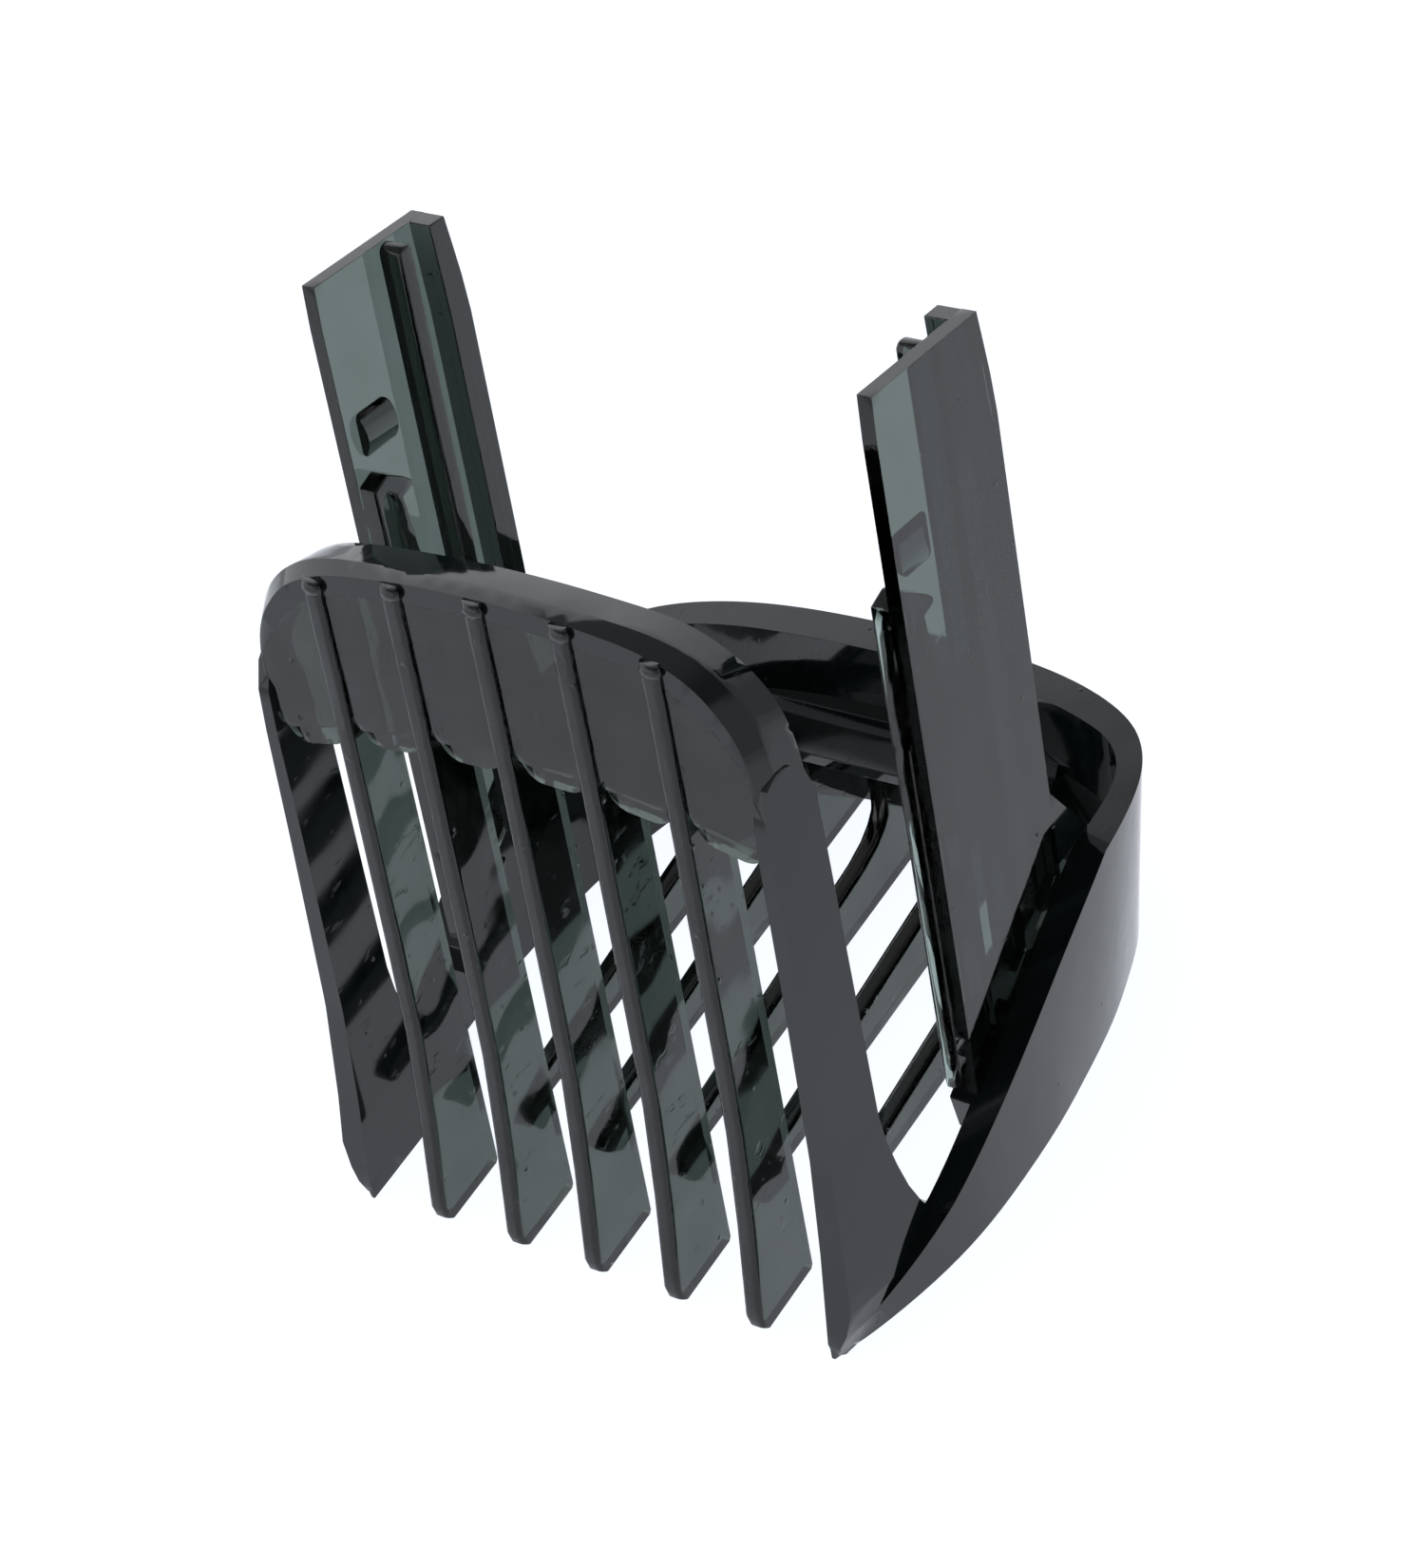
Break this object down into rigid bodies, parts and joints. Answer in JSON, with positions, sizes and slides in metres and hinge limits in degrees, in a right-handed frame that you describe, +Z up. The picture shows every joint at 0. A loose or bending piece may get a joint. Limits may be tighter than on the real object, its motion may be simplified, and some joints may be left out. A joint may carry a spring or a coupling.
{
  "type": "hair clipper guard comb",
  "caption": "Slide-on clipper guard comb: arched front frame of blade-like teeth, open U-shaped band with glide bars, and two leaning ribbed side rails.",
  "frame": {"origin": "middle of the bounding box, on the skin plane that the teeth tips, bars and band rest on", "axes": "+X across the teeth toward the viewer's right when the teeth face the viewer, -Y toward the teeth, +Z up along the rails' side"},
  "size_m": [0.0532, 0.0522, 0.0621],
  "materials": {
    "frame_smoke": "glossy smoke-tinted translucent plastic, green-black",
    "band_smoke": "glossy smoke-tinted translucent plastic, near black where thick",
    "rail_smoke": "glossy smoke-tinted translucent plastic, grey-green where thin"
  },
  "bodies": {
    "root": {"front_arch": "frame_smoke", "web_panel_1": "frame_smoke", "web_panel_2": "frame_smoke", "web_panel_3": "frame_smoke", "web_panel_4": "frame_smoke", "web_panel_5": "frame_smoke", "web_panel_6": "frame_smoke", "front_tooth_1": "frame_smoke", "front_tooth_2": "frame_smoke", "front_tooth_3": "frame_smoke", "front_tooth_4": "frame_smoke", "front_tooth_5": "frame_smoke", "left_leg": "frame_smoke", "right_leg": "frame_smoke", "back_wall": "band_smoke", "left_skirt": "band_smoke", "right_skirt": "band_smoke", "cross_ledge": "band_smoke", "rear_bar_1": "band_smoke", "rear_bar_2": "band_smoke", "rear_bar_3": "band_smoke", "rear_bar_4": "band_smoke", "rear_bar_5": "band_smoke", "left_rail": "rail_smoke", "left_mid_rib": "rail_smoke", "left_rear_rib": "rail_smoke", "left_stop_block": "rail_smoke", "left_rail_root": "rail_smoke", "left_detent": "rail_smoke", "left_gusset": "rail_smoke", "right_rail": "rail_smoke", "right_mid_rib": "rail_smoke", "right_rear_rib": "rail_smoke", "right_stop_block": "rail_smoke", "right_rail_root": "rail_smoke", "right_detent": "rail_smoke", "right_gusset": "rail_smoke"}
  },
  "joints": []
}
